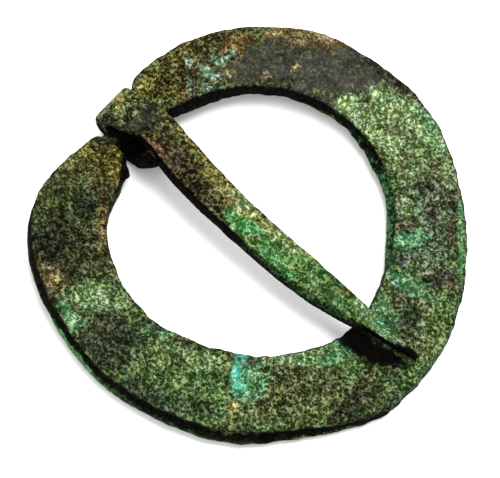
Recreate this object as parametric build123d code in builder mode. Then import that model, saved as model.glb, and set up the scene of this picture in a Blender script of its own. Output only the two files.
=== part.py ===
"""An annular brooch: a flat cast ring filed to a round neck, and a hammered pin whose head is rolled round the neck."""
from build123d import *
import os
from collections import namedtuple
from math import asin, atan2, cos, degrees, hypot, radians, sin

# The ring, in millimetres
ring_width = 38.0
hole_width = 25.6
ring_thickness = 2.1
edge_wear = 0.4
shoulder_round = 1.0
inner_corner_round = 0.5

# The neck that the pin turns on, narrower than the plate beside it, and how far it runs into each shoulder
neck_thickness = 2.0
neck_inset = 0.25
neck_root = 0.8

# The pin, hammered from one flat strip. The lap is the strip's end, folded back under the shaft. Its edges are
# worn round, by no more than the roundest share of its width or depth where it is thin.
strip_thickness = 1.2
strip_wear = 0.25
roundest = 0.4
head_width = 3.75
shaft_width = 3.3
tip_inset = 1.2
lap_run = 1.2
lap_bend = 1.8
lap_slope = 62.0

# Clearances: all round the neck, between the head and each shoulder, and under the tip
eye_play = 0.15
upper_shoulder_play = 0.25
lower_shoulder_play = 1.1
tip_gap = 0.1

# The plate's two outlines from above. The angle runs round from the pin's tip, and the distances from the middle
# are shares of half the ring's width and of half the hole's width.
Outline = namedtuple("Outline", "angle outer inner")
outline = [
    Outline(0, 1.014, 0.950),
    Outline(20, 0.982, 0.914),
    Outline(40, 0.966, 0.930),
    Outline(57, 0.975, 0.972),
    Outline(75, 1.018, 1.010),
    Outline(95, 1.034, 1.045),
    Outline(112, 1.047, 1.060),
    Outline(130, 1.022, 1.058),
    Outline(148, 0.988, 1.048),
    Outline(165, 0.938, 1.042),
    Outline(180, 0.868, 1.060),
    Outline(191, 0.870, 1.050),
    Outline(202, 0.938, 0.987),
    Outline(212, 1.008, 1.018),
    Outline(224, 1.037, 1.030),
    Outline(242, 1.015, 1.020),
    Outline(265, 1.006, 0.990),
    Outline(285, 0.994, 0.946),
    Outline(305, 0.989, 0.938),
    Outline(325, 0.990, 0.942),
    Outline(341, 1.034, 0.958),
]

# The pin's sections, evenly spaced from just past the head to the tip: the middle line's offset and the width as
# shares of the shaft's width, and the depth as a share of the strip's thickness.
Section = namedtuple("Section", "aside width deep")
sections = [
    Section(0.15, 1.05, 1.00),
    Section(-0.08, 1.07, 1.00),
    Section(-0.205, 1.01, 1.00),
    Section(-0.275, 0.98, 1.00),
    Section(-0.29, 0.92, 0.99),
    Section(-0.24, 0.71, 0.94),
    Section(-0.165, 0.43, 0.80),
    Section(-0.10, 0.15, 0.45),
]

def polar(angle, reach):
    """A point of the plate's plan from its direction and its distance from the middle."""
    return reach * cos(radians(angle)), reach * sin(radians(angle))

# Sizes that follow from the ones above
hole_at_neck = next(row.inner for row in outline if row.angle == 180) * hole_width / 2
rim_at_tip = next(row.outer for row in outline if row.angle == 0) * ring_width / 2
neck_x = -(hole_at_neck + neck_inset + neck_thickness / 2)
eye_radius = neck_thickness / 2 + eye_play
roll_radius = eye_radius + strip_thickness / 2
head_radius = eye_radius + strip_thickness
head_y = (lower_shoulder_play - upper_shoulder_play) / 2
shoulder_gap = lower_shoulder_play + head_width + upper_shoulder_play
pin_reach = rim_at_tip - tip_inset - neck_x
tip_under = ring_thickness / 2 + tip_gap

# The ring, about its own middle plane: a plate cut through at the neck, whose two shoulders the round neck joins
neck_side = Plane((neck_x, 0, 0), x_dir=(1, 0, 0), z_dir=(0, -1, 0))
with BuildPart() as ring:
    with BuildSketch() as plan:
        with BuildLine():
            Spline([polar(row.angle, row.outer * ring_width / 2) for row in outline], periodic=True)
        make_face()
        with BuildLine():
            Spline([polar(row.angle, row.inner * hole_width / 2) for row in outline], periodic=True)
        make_face(mode=Mode.SUBTRACT)
        with Locations((neck_x, 0)):
            Rectangle(ring_width / 2, shoulder_gap, mode=Mode.SUBTRACT)
        outer_corners = plan.vertices().filter_by(lambda corner: corner.X < neck_x)
        inner_corners = plan.vertices().filter_by(lambda corner: corner.X > neck_x)
        fillet(outer_corners, shoulder_round)
        fillet(inner_corners, inner_corner_round)
    extrude(amount=ring_thickness / 2, both=True)
    fillet(ring.faces().filter_by(Plane.XY).edges(), edge_wear)
    with BuildSketch(neck_side):
        Circle(neck_thickness / 2)
    extrude(amount=shoulder_gap / 2 + neck_root, both=True)

with BuildPart() as pin:
    # The head: the strip rolled round the neck, run back under it and bent up into the shaft's underside
    with BuildLine(neck_side):
        CenterArc((0, 0), roll_radius, 90, 180)
        Line((0, -roll_radius), (lap_run, -roll_radius))
        JernArc((lap_run, -roll_radius), (1, 0), lap_bend, lap_slope)
        rise = 2 * roll_radius - lap_bend * (1 - cos(radians(lap_slope)))
        PolarLine((lap_run + lap_bend * sin(radians(lap_slope)), roll_radius - rise),
                  rise / sin(radians(lap_slope)), lap_slope)
    with BuildSketch(Plane((neck_x, head_y, roll_radius), x_dir=(0, 1, 0), z_dir=(-1, 0, 0))):
        RectangleRounded(head_width, strip_thickness, strip_wear)
    sweep()

    # The shaft, from the top of the roll to the tip, through upright sections that narrow and thin out
    shaft = [(head_y, head_width, strip_thickness)]
    for row in sections:
        shaft.append((row.aside * shaft_width, row.width * shaft_width, row.deep * strip_thickness))
    for step, (middle, width, depth) in enumerate(shaft):
        along = step / len(sections)
        under = eye_radius + along * (tip_under - eye_radius)
        centre = (neck_x + along * pin_reach, middle, under + depth / 2)
        with BuildSketch(Plane(centre, x_dir=(0, 1, 0), z_dir=(1, 0, 0))):
            RectangleRounded(width, depth, min(strip_wear, roundest * width, roundest * depth))
    loft()

# How the brooch lies: the roll and the far rim touch the surface, so the ring slopes down from its neck. The origin
# is on the surface, under the middle of the whole brooch.
far_x = ring.part.bounding_box().max.X - edge_wear
far_z = edge_wear - ring_thickness / 2
slope = degrees(asin((head_radius - edge_wear) / hypot(far_x - neck_x, far_z)) + atan2(far_z, far_x - neck_x))
lean = Location((0, 0, 0), (0, slope, 0))
ring.part.move(lean)
pin.part.move(lean)
whole = ring.part.bounding_box().add(pin.part.bounding_box())
set_down = Location((-whole.center().X, -whole.center().Y, -whole.min.Z))
ring.part.move(set_down)
pin.part.move(set_down)
hinge = (set_down * lean * Location((neck_x, head_y, 0))).position

# The finished pieces
os.makedirs("parts", exist_ok=True)
ring.part.label = "ring"
export_step(ring.part, "parts/ring.step")
pin.part.label = "pin"
export_step(pin.part, "parts/pin.step")
print("slope in degrees", round(slope, 3))
print("middle of the ring", [round(value, 3) for value in set_down.position])
print("middle of the neck in the roll", [round(value, 3) for value in hinge])
print("volumes", round(ring.part.volume, 1), round(pin.part.volume, 1))
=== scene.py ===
"""A buried annular brooch: a cast ring under a green and brown crust, and the hammered pin on its neck."""
import bpy
import bmesh
from math import atan2, cos, degrees, hypot, radians, sin
from mathutils import Color, Matrix, Vector, noise


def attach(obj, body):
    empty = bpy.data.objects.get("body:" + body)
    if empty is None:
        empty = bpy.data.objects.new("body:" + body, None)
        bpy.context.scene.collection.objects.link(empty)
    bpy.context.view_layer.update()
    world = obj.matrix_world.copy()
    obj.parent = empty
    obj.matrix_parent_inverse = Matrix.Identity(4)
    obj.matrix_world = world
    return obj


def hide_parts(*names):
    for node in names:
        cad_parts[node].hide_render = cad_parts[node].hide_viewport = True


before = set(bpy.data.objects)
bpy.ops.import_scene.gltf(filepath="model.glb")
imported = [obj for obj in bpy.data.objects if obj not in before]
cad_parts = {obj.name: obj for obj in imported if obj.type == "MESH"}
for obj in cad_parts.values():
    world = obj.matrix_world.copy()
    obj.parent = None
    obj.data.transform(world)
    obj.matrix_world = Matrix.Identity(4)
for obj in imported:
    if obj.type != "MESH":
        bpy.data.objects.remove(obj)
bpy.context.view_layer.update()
scene = bpy.context.scene

# The ring: a flat bronze casting, its edges filed round, with one narrow neck. It was cast in an open mould
# and has lain in wet soil, so a granular corrosion crust covers it, thick here and worn off there. It lies
# with its neck a little raised, on the pin's roll and its own far rim.
MM = 0.001
ring_middle = Vector((-0.001074, -0.000259, 0.001826))
ring_slope = radians(2.206)
lying = Matrix.Translation(ring_middle) @ Matrix.Rotation(ring_slope, 4, "Y")


def dense_copy(node, name, grain):
    """A closed copy of a CAD piece with small even faces, fine enough to carry a crust."""
    piece = bpy.data.objects.new(name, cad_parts[node].data.copy())
    scene.collection.objects.link(piece)
    shell = bmesh.new()
    shell.from_mesh(piece.data)
    bmesh.ops.remove_doubles(shell, verts=shell.verts, dist=0.001 * MM)
    shell.to_mesh(piece.data)
    shell.free()
    remesh = piece.modifiers.new("even faces", "REMESH")
    remesh.mode = "VOXEL"
    remesh.voxel_size = grain
    finished = bpy.context.evaluated_depsgraph_get()
    even = bpy.data.meshes.new_from_object(piece.evaluated_get(finished))
    piece.modifiers.clear()
    piece.data = even
    shell = bmesh.new()
    shell.from_mesh(even)
    bmesh.ops.smooth_vert(shell, verts=shell.verts, factor=0.5,
                          use_axis_x=True, use_axis_y=True, use_axis_z=True)
    bmesh.ops.recalc_face_normals(shell, faces=shell.faces)
    shell.to_mesh(even)
    shell.free()
    even.materials.clear()
    even.shade_smooth()
    return piece


def lumps(place, size, seed):
    """Rounded lumps of about this size, from -1 to 1. Each seed gives other lumps."""
    return noise.noise(place / size + Vector((seed, 7.1 * seed, 3.3)))


def rise(value, low, high):
    """0 below low, 1 above high, and a straight rise between."""
    return min(1.0, max(0.0, (value - low) / (high - low)))


top_light = 2.8


def paint(red, green, blue):
    """The colour that looks like this, from 0 to 255 each, on a face turned up, which top_light falls on."""
    looks = Color((red / 255, green / 255, blue / 255))
    return Vector(looks.from_srgb_to_scene_linear()) / top_light


def patch_share(place, edge, x, y, long, wide, turn):
    """How far a place is inside a ragged oval patch, from 0 to 1. The patch fades out across its edge."""
    right, up = place.x - x, place.y - y
    if abs(right) > 2 * long or abs(up) > 2 * long:
        return 0.0
    sine, cosine = sin(radians(turn)), cos(radians(turn))
    out = hypot((right * cosine + up * sine) / long, (up * cosine - right * sine) / wide)
    return rise(1.25 - out - edge, 0.0, 0.5)


def crust(piece, reach, stain):
    """Moves each point out by reach(place, normal), and keeps the colours of the crust there.

    Both are in the ring's own frame: a place is in millimetres from its middle, and its plate is level. Then
    stain(place, normal, edge) gives the colour of the grains, the colour of the pits between them, and how
    smooth the crust is. The edge is a noise that makes patches ragged. No point goes under the table.
    """
    flat = lying.inverted()
    turn = flat.to_3x3()
    normals = [point.normal.copy() for point in piece.data.vertices]
    pale, deep, smooth, height = [], [], [], []
    for point, normal in zip(piece.data.vertices, normals):
        place, facing = flat @ point.co / MM, turn @ normal
        stands = reach(place, facing)
        point.co += normal * stands * MM
        point.co.z = max(point.co.z, 0.0)
        edge = 0.35 * lumps(place, 1.9, 21) + 0.45 * lumps(place, 0.7, 22) + 0.40 * lumps(place, 0.32, 23)
        pale_here, deep_here, smooth_here = stain(place, facing, edge)
        pale.extend(pale_here)
        deep.extend(deep_here)
        smooth.append(smooth_here)
        height.append(stands)
    for name, kind, values in (("pale", "FLOAT_VECTOR", pale), ("deep", "FLOAT_VECTOR", deep),
                               ("smooth", "FLOAT", smooth), ("height", "FLOAT", height)):
        kept = piece.data.attributes.new(name, kind, "POINT").data
        kept.foreach_set("vector" if kind == "FLOAT_VECTOR" else "value", values)
    piece.data.update()


# The finishes of old bronze, and one of painted shade: the colour of the crust's grains, the colour of the
# pits between them, and how smooth the crust is
finishes = {
    name: (paint(*pale), paint(*deep), smooth) for name, pale, deep, smooth in (
        ("olive", (146, 157, 107), (26, 34, 0), 0.0),
        ("moss", (146, 175, 112), (24, 54, 4), 0.0),
        ("dark moss", (94, 106, 80), (9, 22, 4), 0.1),
        ("bright moss", (150, 192, 122), (32, 84, 10), 0.0),
        ("dry moss", (164, 178, 124), (44, 62, 8), 0.0),
        ("dark olive", (110, 113, 75), (21, 24, 1), 0.2),
        ("yellow olive", (156, 150, 80), (34, 31, 0), 0.0),
        ("olive brown", (104, 105, 70), (12, 12, 0), 0.0),
        ("brown", (134, 129, 86), (20, 17, 0), 0.0),
        ("pitted", (142, 132, 74), (6, 5, 2), 0.0),
        ("pitted brown", (110, 102, 66), (7, 5, 0), 0.0),
        ("ochre", (172, 148, 92), (68, 50, 8), 0.2),
        ("tan", (214, 198, 144), (84, 70, 34), 0.0),
        ("salmon", (210, 166, 124), (84, 54, 30), 0.2),
        ("rust", (206, 122, 64), (84, 42, 20), 0.0),
        ("yellow", (226, 222, 146), (92, 92, 34), 0.0),
        ("slate", (104, 106, 92), (50, 52, 40), 1.0),
        ("dark slate", (76, 84, 76), (38, 43, 37), 1.0),
        ("umber", (112, 104, 82), (26, 22, 10), 0.3),
        ("soot", (72, 78, 58), (5, 8, 2), 0.0),
        # The next finish is painted shade: near black, for shadow cast by the pin and its roll and for the
        # pin's shaded tip.
        ("painted shade", (12, 12, 9), (3, 3, 2), 0.0),
        ("lime", (222, 252, 192), (78, 108, 46), 0.0),
        ("sage", (154, 171, 139), (27, 44, 12), 0.0),
        ("mint", (158, 208, 156), (46, 96, 42), 0.0),
        ("teal", (158, 226, 168), (28, 100, 58), 0.0),
        ("turquoise", (160, 226, 186), (42, 96, 62), 0.0),
        ("malachite", (150, 216, 146), (20, 96, 28), 0.0),
        ("crystals", (170, 255, 228), (70, 190, 152), 0.0),
        ("ice", (206, 236, 204), (58, 96, 66), 0.0),
        ("blue grey", (136, 158, 148), (36, 56, 46), 0.1),
        ("deep blue", (76, 98, 88), (10, 24, 18), 0.1),
    )
}


def layered(place, edge, ground, patches):
    """The crust at a place: the two finishes of the ground drift into each other, with patches over them.

    A small patch is more ragged than a large one, and painted shade, the near-black finish, has the least
    ragged edge.
    """
    drift = rise(lumps(place, 3.2, 24), -0.35, 0.35)
    (pale, deep, smooth), (other_pale, other_deep, other_smooth) = (finishes[name] for name in ground)
    pale, deep = pale.lerp(other_pale, drift), deep.lerp(other_deep, drift)
    smooth += (other_smooth - smooth) * drift
    for x, y, long, wide, turn, strength, name in patches:
        ragged = 0.4 if name == "painted shade" else min(1.8, max(1.0, 0.9 / wide))
        share = strength * patch_share(place, edge * ragged, x, y, long, wide, turn)
        if share:
            patch_pale, patch_deep, patch_smooth = finishes[name]
            pale, deep = pale.lerp(patch_pale, share), deep.lerp(patch_deep, share)
            smooth += (patch_smooth - smooth) * share
    return pale, deep, smooth


# The outer wall is farther than this from the ring's middle, and the inner wall is nearer. Angles are in
# degrees from the pin's tip, counter-clockwise seen from above. The neck's middle is at this x.
between_walls = 15.9
neck_x = -14.8


def from_middle(place):
    """How far a place is from the ring's middle, and its angle."""
    return hypot(place.x, place.y), degrees(atan2(place.y, place.x))


def apart(angle, other):
    """How far apart two angles are."""
    return abs((angle - other + 180) % 360 - 180)


def stretch(angle, middle, reach):
    """1 on the stretch of the ring that is well within this reach of the middle angle, and 0 away from it."""
    return rise(1.3 - apart(angle, middle) / reach, 0.0, 0.6)


def ring_reach(place, normal):
    """How far the ring's surface stands out: lumps, nibbled edges, a groove and a thick foot.

    The neck and what is close to it stay as they were made, but for the lower shoulder's thick foot.
    """
    wall = 1 - min(1.0, abs(normal.z))
    away, angle = from_middle(place)
    clear_of_neck = rise(hypot(place.x - neck_x, place.y), 2.6, 4.6)
    grain = 0.035 * lumps(place, 0.30, 1) + 0.05 * lumps(place, 0.7, 2) + 0.05 * lumps(place, 2.0, 3)
    nibble = wall * (0.12 * lumps(place, 0.9, 4) + 0.14 * lumps(place, 2.6, 5))
    foot = rise(0.5 - place.z, 0.0, 1.2)
    if away > between_walls:
        swell = 0.16 * stretch(angle, 128, 20) + 0.16 * stretch(angle, 62, 26) + 0.18 * stretch(angle, 16, 12)
        swell += foot * (0.30 * stretch(angle, -90, 44) + 0.34 * stretch(angle, -54, 20))
        groove = max(0.0, 1 - abs(place.z - 0.25) / 0.6) * rise(4.0 - place.y, 0, 4)
        spread = 0.10 + swell - 0.24 * groove
    else:
        worn = rise(angle, -10, 15) * rise(130 - angle, 0, 50) * rise(place.z, -0.9, 0.8)
        swell = 0.40 * stretch(angle, 52, 22) + 0.40 * stretch(angle, 156, 16) + 0.28 * stretch(angle, 79, 10)
        swell += 0.95 * stretch(angle, -167, 6)
        spread = 0.05 - 0.30 * worn + foot * swell + 0.14 * stretch(angle, -45, 40)
    sag = max(0.0, min(0.6, 0.036 * (17 - place.x))) * rise(5.0 - place.y, 0, 6)
    under = rise(-normal.z, 0.3, 0.8) * sag
    lower_shoulder = rise(place.x + 16.4, 0, 0.8) * rise(-10.5 - place.x, 0, 1) * rise(-2.0 - place.y, 0, 0.3)
    closing = 0.45 * foot * rise(normal.y, 0.4, 0.8) * lower_shoulder
    return clear_of_neck * (grain + nibble + wall * spread + under) + (1 - clear_of_neck) * closing


# Each patch has its middle's x and y, its half length and half width, its turn in degrees, its strength and
# its finish. Most follow the ring round from the neck and back to it. Later ones lie over earlier ones.
ring_patches = [
    (-6.5, 15.0, 9.0, 4.5, 35, 1, "dark olive"),
    (-13.9, 8.7, 6.8, 3.2, 71, 1, "brown"),
    (-7.3, 17.6, 5.4, 1.2, 34, 1, "ochre"),
    (-11.9, 12.7, 2.0, 1.3, 45, 0.7, "ochre"),
    (-15.7, 3.9, 2.5, 1.8, -88, 1, "yellow olive"),
    (-15.7, 7.7, 2.8, 0.8, 78, 0.8, "yellow olive"),
    (-14.3, 4.6, 1.3, 1.2, 50, 0.9, "pitted"),
    (-4.3, 16.0, 6.5, 3.0, 27, 1, "slate"),
    (-10.6, 13.4, 1.3, 0.9, 46, 0.9, "slate"),
    (-10.1, 11.0, 3.1, 1.3, 48, 0.85, "slate"),
    (-11.6, 7.0, 1.2, 0.6, 66, 0.8, "sage"),
    (-0.7, 15.9, 2.2, 0.9, 38, 0.9, "umber"),
    (1.3, 19.1, 1.8, 1.2, -7, 0.9, "umber"),
    (-0.7, 19.3, 3.8, 0.5, -2, 0.7, "soot"),
    (-11.0, 15.7, 0.7, 0.4, 44, 0.9, "tan"),
    (-9.1, 16.5, 0.8, 0.6, -31, 0.8, "tan"),
    (-7.3, 18.0, 1.4, 0.5, 32, 0.8, "tan"),
    (-11.3, 9.6, 0.5, 0.4, 52, 0.8, "tan"),
    (-8.8, 11.7, 0.5, 0.4, 46, 0.6, "tan"),
    (-5.8, 17.6, 0.3, 0.3, -66, 0.9, "tan"),
    (-7.2, 14.2, 0.5, 0.4, -65, 0.9, "tan"),
    (-14.6, 7.8, 0.6, 0.4, -53, 0.95, "ice"),
    (-13.2, 8.4, 0.7, 0.3, 3, 0.95, "ice"),
    (-12.3, 8.3, 0.5, 0.5, 56, 0.9, "ice"),
    (-13.2, 6.4, 0.7, 0.3, -50, 0.9, "ice"),
    (-11.9, 7.3, 0.8, 0.3, -2, 0.9, "ice"),
    (-13.6, 10.1, 0.4, 0.4, -61, 0.4, "ice"),
    (-12.4, 10.6, 0.9, 0.4, 77, 0.9, "ice"),
    (-1.1, 14.5, 1.5, 1.1, 20, 1, "lime"),
    (2.7, 16.8, 3.1, 1.9, -6, 1, "lime"),
    (-0.1, 17.4, 0.8, 0.5, -55, 0.9, "lime"),
    (3.7, 14.1, 3.3, 1.9, -20, 0.9, "dry moss"),
    (5.2, 18.3, 1.6, 0.8, -27, 0.9, "mint"),
    (7.2, 16.9, 1.0, 0.8, -62, 0.9, "mint"),
    (2.1, 12.8, 1.4, 0.4, -13, 0.9, "blue grey"),
    (6.9, 13.8, 2.5, 1.4, 27, 0.8, "dry moss"),
    (10.2, 11.3, 3.4, 2.7, -51, 1, "sage"),
    (8.3, 13.1, 0.8, 0.8, 69, 0.9, "soot"),
    (10.4, 14.4, 1.7, 1.1, -55, 0.7, "umber"),
    (10.5, 11.6, 1.1, 0.5, -53, 0.7, "umber"),
    (9.4, 9.0, 1.2, 0.7, 44, 0.8, "umber"),
    (13.7, 10.4, 2.1, 0.7, -53, 0.8, "umber"),
    (8.6, 10.1, 0.7, 0.2, 32, 0.8, "yellow"),
    (13.4, 7.6, 2.3, 2.1, -76, 0.9, "sage"),
    (15.5, 7.0, 1.7, 1.1, 22, 0.8, "umber"),
    (14.3, 5.7, 0.8, 0.7, -61, 0.8, "soot"),
    (10.8, 8.1, 1.4, 0.8, 56, 0.9, "teal"),
    (13.8, 11.4, 4.0, 0.2, -52, 0.9, "mint"),
    (10.7, 5.8, 0.7, 0.6, 61, 0.6, "deep blue"),
    (12.0, 5.4, 0.5, 0.4, -57, 0.8, "blue grey"),
    (8.7, 7.1, 3.4, 0.4, -51, 0.5, "teal"),
    (13.0, 4.3, 2.0, 0.5, 1, 0.8, "turquoise"),
    (11.2, 4.6, 0.7, 0.5, 9, 0.8, "mint"),
    (13.3, 2.7, 1.4, 0.7, 44, 0.8, "olive"),
    (13.6, 2.6, 0.3, 0.2, 54, 0.9, "rust"),
    (15.5, 2.3, 1.7, 1.5, -66, 0.9, "dark moss"),
    (17.7, 3.9, 2.8, 1.3, -71, 0.9, "moss"),
    (18.8, 0.3, 1.9, 1.2, -84, 0.9, "dry moss"),
    (18.4, -3.1, 2.7, 1.7, 88, 0.8, "moss"),
    (15.8, -6.7, 3.0, 1.9, 65, 1, "olive"),
    (12.0, -8.8, 3.4, 3.0, 50, 0.9, "olive"),
    (12.1, -4.8, 2.3, 1.1, 64, 0.9, "mint"),
    (10.1, -6.5, 2.1, 0.5, 47, 0.8, "moss"),
    (16.2, -5.1, 1.2, 0.9, 46, 0.35, "umber"),
    # Painted shade: the pin's shadow on the ring's face, beside its shaft and tip.
    (13.9, -2.4, 2.6, 1.2, 7, 1, "painted shade"),
    (15.8, -2.0, 2.1, 0.8, 23, 1, "painted shade"),
    (12.4, -2.8, 0.9, 0.8, 62, 0.9, "painted shade"),
    (16.9, -2.9, 1.7, 0.7, 43, 0.6, "soot"),
    (4.0, -14.5, 5.2, 3.2, 27, 1, "moss"),
    (1.6, -14.2, 2.2, 1.1, 26, 0.7, "dry moss"),
    (8.5, -11.2, 2.2, 1.5, -52, 0.7, "teal"),
    (7.1, -11.3, 1.25, 0.4, -62, 0.95, "crystals"),
    (7.0, -10.2, 0.5, 0.3, -52, 0.9, "crystals"),
    (8.3, -12.3, 0.6, 0.3, 21, 0.8, "crystals"),
    (7.5, -10.0, 0.7, 0.4, 43, 0.8, "umber"),
    (9.2, -14.3, 0.9, 0.7, 44, 0.95, "yellow"),
    (10.2, -16.4, 0.8, 0.4, 43, 0.8, "yellow olive"),
    (11.4, -12.6, 0.2, 0.12, 49, 1, "rust"),
    (14.9, -10.6, 0.2, 0.12, 50, 1, "rust"),
    (11.6, -7.9, 0.4, 0.3, -72, 0.8, "umber"),
    (3.2, -18.1, 2.9, 0.7, 10, 0.6, "deep blue"),
    (6.7, -16.3, 2.4, 0.8, 19, 0.7, "dark moss"),
    (2.8, -12.5, 1.0, 0.5, 20, 0.8, "umber"),
    (-2.6, -16.3, 2.6, 2.4, -24, 1, "dark moss"),
    (-3.3, -15.5, 1.2, 0.9, 43, 0.35, "umber"),
    (-0.2, -13.5, 0.9, 0.5, 31, 0.7, "mint"),
    (-11.2, -13.2, 3.3, 2.9, -51, 1, "olive brown"),
    (-5.8, -14.3, 2.9, 0.9, 34, 0.6, "lime"),
    (-6.3, -17.2, 1.3, 0.6, -6, 0.9, "mint"),
    (-5.8, -17.2, 0.5, 0.3, -50, 0.9, "ice"),
    (-7.6, -16.9, 0.6, 0.5, 43, 0.9, "mint"),
    (-10.2, -15.6, 1.4, 0.8, 3, 0.8, "tan"),
    (-8.9, -15.8, 0.6, 0.5, 46, 0.7, "pitted"),
    (-9.4, -16.8, 0.7, 0.6, 46, 0.8, "umber"),
    (-10.8, -15.4, 0.4, 0.3, 43, 0.7, "umber"),
    (-8.5, -12.4, 2.1, 1.3, 43, 0.9, "dark olive"),
    (-12.4, -13.1, 1.9, 1.8, 57, 0.9, "soot"),
    (-12.5, -8.1, 1.7, 1.3, 44, 0.8, "soot"),
    (-15.3, -9.7, 3.2, 1.9, -65, 0.6, "dark olive"),
    (-15.3, -5.8, 2.6, 0.9, 56, 0.9, "yellow olive"),
    (-10.4, -8.5, 2.8, 0.4, -49, 0.5, "ochre"),
    (-9.7, -9.6, 0.4, 0.4, 46, 0.9, "tan"),
    (-12.6, -4.7, 1.2, 0.7, -58, 0.8, "ochre"),
    (-9.6, -10.6, 0.5, 0.4, -55, 0.6, "soot"),
    (-14.7, -7.2, 2.4, 1.5, 60, 0.8, "dark olive"),
    (16.6, -9.2, 1.6, 0.5, -55, 0.8, "soot"),
    (-14.6, -3.9, 3.0, 2.1, 45, 1, "yellow olive"),
    (-16.7, 3.0, 1.0, 0.6, -60, 0.5, "yellow"),
    (2.6, 13.8, 2.8, 1.0, 8, 0.8, "lime"),
    (9.8, 15.2, 1.3, 0.7, -57, 0.7, "lime"),
    (13.9, 4.9, 1.6, 0.8, 5, 0.9, "mint"),
    (13.2, 0.9, 2.4, 1.1, -30, 0.75, "mint"),
    (4.1, -12.8, 1.8, 0.7, 22, 0.5, "lime"),
    (16.8, -7.4, 2.1, 0.9, -62, 0.9, "soot"),
    (18.8, -4.8, 1.5, 0.6, 80, 0.8, "dark moss"),
    (-12.6, -10.2, 1.6, 1.0, 60, 0.8, "soot"),
    (-16.1, -6.2, 1.1, 0.7, 60, 0.45, "yellow"),
    (-10.6, -8.2, 1.2, 0.5, -49, 0.9, "pitted"),
    (-7.6, -15.4, 1.0, 0.8, 30, 0.6, "moss"),
    (0.7, 14.9, 1.0, 0.8, 20, 0.6, "lime"),
    (8.6, 9.9, 1.2, 0.8, -50, 0.5, "lime"),
    (7.3, 13.6, 1.2, 0.8, -50, 0.45, "lime"),
    (17.0, 2.9, 1.4, 0.9, -70, 0.7, "dry moss"),
    (7.2, 17.2, 1.2, 0.8, -50, 0.6, "lime"),
    (-4.2, -12.6, 1.2, 0.9, 30, 0.6, "moss"),
    (9.6, -7.6, 1.6, 0.6, 45, 0.6, "lime"),
    (-15.3, -3.0, 1.3, 0.7, 20, 0.8, "soot"),
    (-0.9, -13.0, 1.4, 0.9, -24, 0.45, "dark moss"),
    (2.4, -17.6, 1.6, 0.8, 8, 0.5, "dark moss"),
    # Painted shade: the shade under the pin's roll, over the neck.
    (-14.8, -0.8, 2.2, 1.7, 0, 1, "painted shade"),
]

# The walls are painted nearly black, as painted shade, but for a few streaks of crust. Each streak has its
# middle angle and half its reach in degrees, whether it is on the outer wall, its middle height and half its
# height, and its grains' and pits' colours.
shaded_wall_grains, shaded_wall_pits = paint(26, 27, 18), paint(1, 1, 1)
ring_wall_streaks = [
    (43, 38, False, 0.0, 3.0, paint(98, 154, 100), paint(8, 33, 18)),
    (66, 6, False, -0.8, 0.35, paint(150, 160, 84), paint(22, 28, 10)),
    (104, 6, False, -0.8, 0.35, paint(140, 150, 80), paint(20, 26, 9)),
    (-90, 40, True, -0.75, 0.45, paint(60, 96, 60), paint(4, 13, 7)),
    (-105, 11, True, -0.75, 0.45, paint(128, 216, 140), paint(18, 52, 28)),
    (-58, 6, True, 0.7, 0.5, paint(150, 150, 90), paint(30, 30, 10)),
    (-28, 14, True, -0.75, 0.45, paint(112, 142, 84), paint(12, 20, 9)),
    (12, 30, True, 0.5, 1.2, paint(120, 156, 116), paint(16, 28, 16)),
    (224, 13, False, 0.4, 1.5, paint(140, 118, 66), paint(12, 9, 3)),
]


def streak_share(along, up, edge):
    """How far a place is inside a ragged streak. Along is 1 at the streak's end, and up is 1 at its top."""
    return rise(1.2 - hypot(along, up) - edge, 0.0, 0.4)


def ring_stain(place, normal, edge):
    """The ring's patches on its faces, and its walls painted nearly black as painted shade."""
    pale, deep, smooth = layered(place, edge, ("olive", "moss"), ring_patches)
    # Painted shade: the walls turn nearly black, but for the streaks of crust.
    wall = rise(1 - abs(normal.z), 0.35, 0.62)
    if wall:
        wall_pale, wall_deep = shaded_wall_grains, shaded_wall_pits
        away, angle = from_middle(place)
        for middle, reach, on_outer, level, high, streak_pale, streak_deep in ring_wall_streaks:
            if on_outer == (away > between_walls):
                share = streak_share(apart(angle, middle) / reach, (place.z - level) / high, edge)
                wall_pale, wall_deep = wall_pale.lerp(streak_pale, share), wall_deep.lerp(streak_deep, share)
        pale, deep = pale.lerp(wall_pale, wall), deep.lerp(wall_deep, wall)
    return pale, deep, smooth * (1 - wall)


ring = dense_copy("ring", "ring_crust", 0.15 * MM)
crust(ring, ring_reach, ring_stain)


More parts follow.
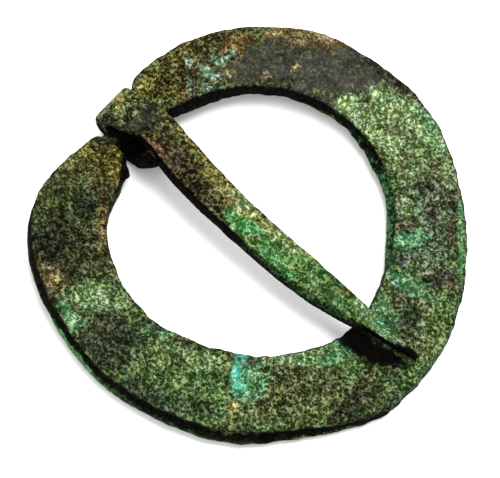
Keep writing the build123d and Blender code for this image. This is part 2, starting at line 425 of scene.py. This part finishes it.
class Field:
    """One value, colour or place of a material, which adds its nodes where it is reckoned with."""

    def __init__(self, tree, socket=None):
        self.tree, self.socket = tree, socket

    def node(self, kind, settings=None, out=0, **values):
        """A node of this kind. Its settings are set first, then its sockets, by name or by number as n0."""
        made = self.tree.nodes.new(kind)
        for name, value in (settings or {}).items():
            setattr(made, name, value)
        for name, value in values.items():
            socket = made.inputs[int(name[1:]) if name[1:].isdigit() else name]
            if isinstance(value, Field):
                value.feeds(socket)
            else:
                socket.default_value = value
        return Field(self.tree, made.outputs[out])

    def feeds(self, socket):
        self.tree.links.new(self.socket, socket)

    def math(self, operation, other=0.0):
        return self.node("ShaderNodeMath", {"operation": operation}, n0=self, n1=other)

    def __add__(self, other):
        return self.math("ADD", other)

    def __mul__(self, other):
        return self.math("MULTIPLY", other)

    def __sub__(self, other):
        return self.math("SUBTRACT", other)

    def __rsub__(self, other):
        return self.node("ShaderNodeMath", {"operation": "SUBTRACT"}, n0=other, n1=self)

    def __pow__(self, other):
        return self.math("POWER", other)

    __radd__, __rmul__ = __add__, __mul__

    def size(self):
        return self.math("ABSOLUTE")

    def ridge(self, narrow):
        """Thin lines where this value passes a half. A larger narrow gives thinner lines."""
        return (1 - (self - 0.5).size() * narrow).math("MAXIMUM", 0.0)

    def step(self, low, high):
        """0 below low, 1 above high and a smooth rise between. With low above high it falls instead."""
        return self.node("ShaderNodeMapRange", {"interpolation_type": "SMOOTHSTEP"}, n0=self, n1=low, n2=high)

    def noise(self, scale, detail=2.0, roughness=0.5, distortion=0.0, out="Fac"):
        """Smooth noise at this place, with this many lumps to a millimetre."""
        return self.node("ShaderNodeTexNoise", None, out, Vector=self, Scale=scale, Detail=detail,
                         Roughness=roughness, Distortion=distortion)

    def vector(self, operation, **values):
        return self.node("ShaderNodeVectorMath", {"operation": operation}, n0=self, **values)

    def under(self, top, mask):
        """This colour with another one over it where the mask is 1. Past 1 it goes beyond the other."""
        settings = {"data_type": "RGBA", "clamp_factor": False}
        return self.node("ShaderNodeMix", settings, 2, n0=mask, n6=self, n7=top)

    def kept(self, name, out="Fac"):
        """What crust() kept at the points of the mesh under this name."""
        return self.node("ShaderNodeAttribute", {"attribute_name": name}, out)


def crusted(name):
    """A patina in which pale grains and threads stand over deep pits, in the colours that crust() kept."""
    material = bpy.data.materials.new(name)
    material.use_nodes = True
    shader = material.node_tree.nodes["Principled BSDF"]
    start = Field(material.node_tree)
    place = start.node("ShaderNodeMapping", {"vector_type": "TEXTURE"},
                       Vector=start.node("ShaderNodeTexCoord", out="Object"),
                       Location=ring_middle, Rotation=(0.0, ring_slope, 0.0), Scale=(MM, MM, MM))

    # The crust's relief: short bent threads that come and go, rounded grains, and wide and fine lumps
    bent = place.vector("ADD", n1=place.noise(1.7, out="Color").vector("SCALE", Scale=0.55))
    other = bent.vector("ADD", n1=(7.0, 3.0, 1.0))
    grains_per_mm = 2.9
    grain = start.node("ShaderNodeTexVoronoi", {"feature": "SMOOTH_F1"}, "Distance", Vector=bent,
                       Scale=grains_per_mm, Smoothness=0.35).step(0.62, 0.12)
    threads = (bent.noise(2.5, 0.0, 0.5, 0.3).ridge(7.0) * other.noise(2.8, 0.0).step(0.40, 0.58)
               + other.noise(3.0, 0.0, 0.5, 0.3).ridge(6.5) * place.noise(2.8, 0.0).step(0.40, 0.58))
    wide_lumps, fine_lumps = place.noise(0.9, 3.0, 0.6) - 0.5, place.noise(4.8, 2.0, 0.6, 0.5) - 0.5
    relief = threads * 0.55 + grain * 0.16 + wide_lumps * 0.7 + fine_lumps + 0.2

    # The colour: the relief shows the grains' colour where it is high and the pits' where it is low. Each
    # grain is a little lighter or darker, and the crust's tinge drifts.
    smooth = start.kept("smooth")
    quiet = 1 - smooth * 0.45
    shown = (relief - 0.4) * quiet * 1.42 + start.kept("height") * 0.7 + 0.46
    shown = shown.math("MAXIMUM", 0.0).math("MINIMUM", 1.18) ** 2.0
    grain_tint = start.node("ShaderNodeTexVoronoi", None, "Color", Vector=bent, Scale=grains_per_mm)
    each_grain = start.node("ShaderNodeSeparateColor", n0=grain_tint) - 0.5
    light = each_grain * 0.4 * quiet + (place.noise(0.9) - 0.5) * 1.3 + 1.04
    tinge = place.noise(1.1, out="Color").vector("MULTIPLY_ADD", n1=(0.7, 0.3, 0.9), n2=(0.65, 0.85, 0.55))
    colour = start.kept("deep", "Vector").under(start.kept("pale", "Vector"), shown)
    colour.vector("SCALE", Scale=light).vector("MULTIPLY", n1=tinge).feeds(shader.inputs["Base Color"])
    (0.8 - smooth * 0.28).feeds(shader.inputs["Roughness"])
    shader.inputs["Specular IOR Level"].default_value = 0.02
    bump = start.node("ShaderNodeBump", None, "Normal", Strength=1.0, Distance=0.12 * MM,
                      Height=relief * (1 - smooth * 0.8))
    bump.feeds(shader.inputs["Normal"])
    return material


ring.data.materials.append(crusted("ring patina"))
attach(ring, "ring_body")
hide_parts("ring")

# The pin: one strip of bronze, hammered flat, drawn to a point and rolled round the ring's neck. Handling has
# kept its crust thinner than the ring's, and its half by the neck is browner than the green half by the tip.
roll_x = -14.82


def pin_reach(place, normal):
    """How far the pin's surface stands out. Inside the roll it stays as it was made.

    Crust widens the shaft's near side towards its back, and thickens the back as far as the ring, the roll's
    front, the strip's end that is lapped under the shaft, and the bend between the roll and the lap.
    """
    clear_of_neck = rise(hypot(place.x - roll_x, place.z), 1.3, 2.3)
    grain = 0.020 * lumps(place, 0.28, 11) + 0.03 * lumps(place, 0.7, 12) + 0.035 * lumps(place, 1.8, 13)
    grain += abs(normal.y) * 0.06 * lumps(place, 1.3, 14)
    side = rise(-normal.y, 0.4, 0.9) * rise(2.3 - place.z, 0.0, 0.9) * rise(13.6 - place.x, 0.0, 1.8)
    side *= 0.20 + 0.16 * rise(place.x, 2, 9)
    back = 0.32 * rise(-normal.z, 0.4, 0.9) * rise(11.9 - place.x, 0.0, 0.6)
    shaft = rise(place.x + 12.5, 0.0, 1.0) * (side + back)
    roll = 0.32 * rise(-normal.x, 0.3, 0.8) * rise(-15.2 - place.x, 0.0, 0.8) * rise(1.9 - place.z, 0.0, 1.2)
    lap = 0.35 * rise(-normal.y, 0.5, 0.9) * rise(place.x + 14.9, 0.0, 0.8) * rise(1.1 - place.z, 0.0, 0.5)
    bend = 0.50 * rise(normal.x, 0.5, 0.88) * rise(0.9 - place.z, 0.0, 0.6) * rise(place.x + 13.5, 0.0, 0.5)
    return clear_of_neck * (grain + shaft + roll + lap + bend)


# The pin's patches, with the same columns as the ring's
pin_patches = [
    (-15.9, -0.1, 2.3, 1.7, 45, 1, "olive"),
    (-17.4, -0.5, 1.3, 0.6, 76, 0.5, "sage"),
    (-15.5, -1.1, 1.2, 0.4, 30, 0.7, "soot"),
    (-16.8, 0.9, 0.9, 0.6, 60, 0.5, "yellow"),
    (-16.0, 0.0, 0.5, 0.4, -51, 0.95, "yellow"),
    (-13.3, 0.6, 1.6, 1.2, 83, 1, "dark slate"),
    (-7.8, -0.5, 5.8, 1.8, -7, 1, "pitted brown"),
    (-6.8, 1.2, 5.6, 0.6, -9, 0.9, "yellow olive"),
    (-11.2, -0.8, 0.5, 0.3, -3, 0.9, "salmon"),
    (-10.4, -0.9, 0.4, 0.4, 49, 0.9, "salmon"),
    (-9.3, -0.8, 0.9, 0.8, 49, 0.7, "umber"),
    (4.5, -1.2, 6.1, 1.7, -3, 1, "bright moss"),
    (-1.0, -1.1, 2.1, 0.9, -10, 0.95, "malachite"),
    (3.7, -2.0, 2.3, 0.7, -5, 0.9, "malachite"),
    (-2.6, 0.2, 2.1, 0.8, -8, 1, "yellow"),
    (-2.3, 0.4, 1.8, 0.7, -8, 0.8, "lime"),
    (-5.3, 0.5, 1.6, 0.7, -8, 0.45, "yellow"),
    (0.9, 0.1, 2.6, 0.4, -5, 0.9, "yellow"),
    (4.9, -1.5, 0.3, 0.3, 47, 0.9, "yellow"),
    (2.8, 0.1, 2.0, 0.6, -6, 0.6, "lime"),
    (9.1, -1.4, 4.0, 1.3, -2, 0.9, "moss"),
    (8.4, -1.3, 4.2, 1.2, -2, 0.45, "bright moss"),
    (14.6, -0.4, 2.8, 0.8, -2, 0.8, "mint"),
    (13.6, -0.5, 2.2, 0.7, -4, 0.4, "lime"),
    (14.1, -0.3, 0.6, 0.5, 46, 0.8, "turquoise"),
    (16.3, -0.5, 0.4, 0.4, 50, 0.8, "ice"),
    # Painted shade: the tip painted black, as its shaded side looks.
    (17.4, -0.8, 1.9, 0.9, 20, 1, "painted shade"),
]

# The colours of the grains on the strip's edges, and of the pits between them. The first pair is painted
# shade: nearly black, as the shaded edges, the inside of the roll and the lap look.
shaded_edge_grains, shaded_edge_pits = paint(20, 20, 14), paint(2, 2, 2)
dull_yellow = paint(128, 118, 60)
green_grains, green_pits = paint(96, 140, 84), paint(8, 24, 10)
rim_grains, rim_pits = paint(150, 156, 104), paint(18, 20, 12)


def pin_stain(place, normal, edge):
    """The pin's patches on its face. The strip's edges, the inside of the roll and the lap are painted nearly
    black, as painted shade.

    The edges have a yellow streak low down, a green upper half by the tip, and a pale rim round the roll.
    """
    pale, deep, smooth = layered(place, edge, ("olive", "yellow olive"), pin_patches)
    to_neck = Vector((roll_x - place.x, 0.0, -place.z))
    inside = rise(normal.dot(to_neck), 0.3, 0.8) * rise(2.2 - to_neck.length, 0.0, 0.2)
    lap = rise(place.x + 14.4, 0.0, 0.3) * max(rise(1.0 - place.z, 0.0, 0.15), rise(-normal.z, -0.1, 0.3))
    # Painted shade: the edges, the inside of the roll and the lap turn nearly black; only the edges' upper
    # half by the tip stays green.
    dark = max(rise(abs(normal.y), 0.45, 0.72), inside, lap)
    yellow = streak_share((place.x + 1) / 7, (place.z - 1.0) / 0.3, edge)
    green = rise(place.x, 0.0, 3.0) * rise(13.0 - place.x, 0.0, 3.0) * rise(place.z, 1.4, 2.1)
    rim = rise(-13.0 - place.x, 0.0, 0.6) * rise(place.z, -1.2, -0.4) * rise(to_neck.length, 1.3, 1.6)
    edge_pale = shaded_edge_grains.lerp(dull_yellow, yellow).lerp(green_grains, green).lerp(rim_grains, rim)
    edge_deep = shaded_edge_pits.lerp(green_pits, green).lerp(rim_pits, rim)
    return pale.lerp(edge_pale, dark), deep.lerp(edge_deep, dark), smooth * (1 - dark)


pin = dense_copy("pin", "pin_crust", 0.1 * MM)
crust(pin, pin_reach, pin_stain)
pin.data.materials.append(crusted("pin patina"))
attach(pin, "pin_body")
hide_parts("pin")

# The table: a smooth white board, lit so brightly that only the brooch's own shadows show on it. It is one
# flat face, far wider than the picture.
board = bmesh.new()
bmesh.ops.create_grid(board, x_segments=1, y_segments=1, size=0.6)
floor_mesh = bpy.data.meshes.new("floor")
board.to_mesh(floor_mesh)
board.free()
floor = bpy.data.objects.new("floor", floor_mesh)
scene.collection.objects.link(floor)
white = bpy.data.materials.new("white board")
white.use_nodes = True
board_finish = white.node_tree.nodes["Principled BSDF"].inputs
board_finish["Base Color"].default_value = (0.88, 0.88, 0.88, 1.0)
board_finish["Roughness"].default_value = 0.9
floor_mesh.materials.append(white)

# The light: one wide soft source above the brooch and a little beyond it, as a window gives, and the pale
# room round it. On a face turned up the two come to about top_light.
window = bpy.data.lights.new("window", "SUN")
window.energy = 4.9
window.angle = radians(50)
window_lamp = bpy.data.objects.new("window", window)
window_from = Vector((-0.04, 0.42, 0.906))
window_lamp.rotation_euler = window_from.to_track_quat("Z", "Y").to_euler()
scene.collection.objects.link(window_lamp)
room = bpy.data.worlds.new("room")
room.use_nodes = True
walls = room.node_tree.nodes["Background"].inputs
walls["Color"].default_value = (1.0, 1.0, 1.0, 1.0)
walls["Strength"].default_value = 1.38
scene.world = room
scene.view_settings.view_transform = "Standard"

# The camera: a long lens above the ring. Its height is the angle up from the ring's plane, its turn is round
# the ring, and its roll is about its own line of sight. It looks at a point near the ring's middle.
camera_height, camera_turn, camera_roll = radians(67), radians(25), radians(16)
camera_distance = 0.2083
looks_at = Vector((0.000295, -0.001411, 0.00105))
camera_data = bpy.data.cameras.new("camera")
camera_data.sensor_width = 36.0
camera_data.lens = 172.8
camera_data.clip_start = 0.01
camera = bpy.data.objects.new("camera", camera_data)
tilt = Matrix.Rotation(camera_turn, 4, "Z") @ Matrix.Rotation(radians(90) - camera_height, 4, "X")
aim = tilt @ Matrix.Rotation(camera_roll, 4, "Z")
camera.matrix_world = lying @ Matrix.Translation(looks_at) @ aim @ Matrix.Translation((0, 0, camera_distance))
scene.collection.objects.link(camera)
scene.camera = camera

bpy.context.view_layer.update()
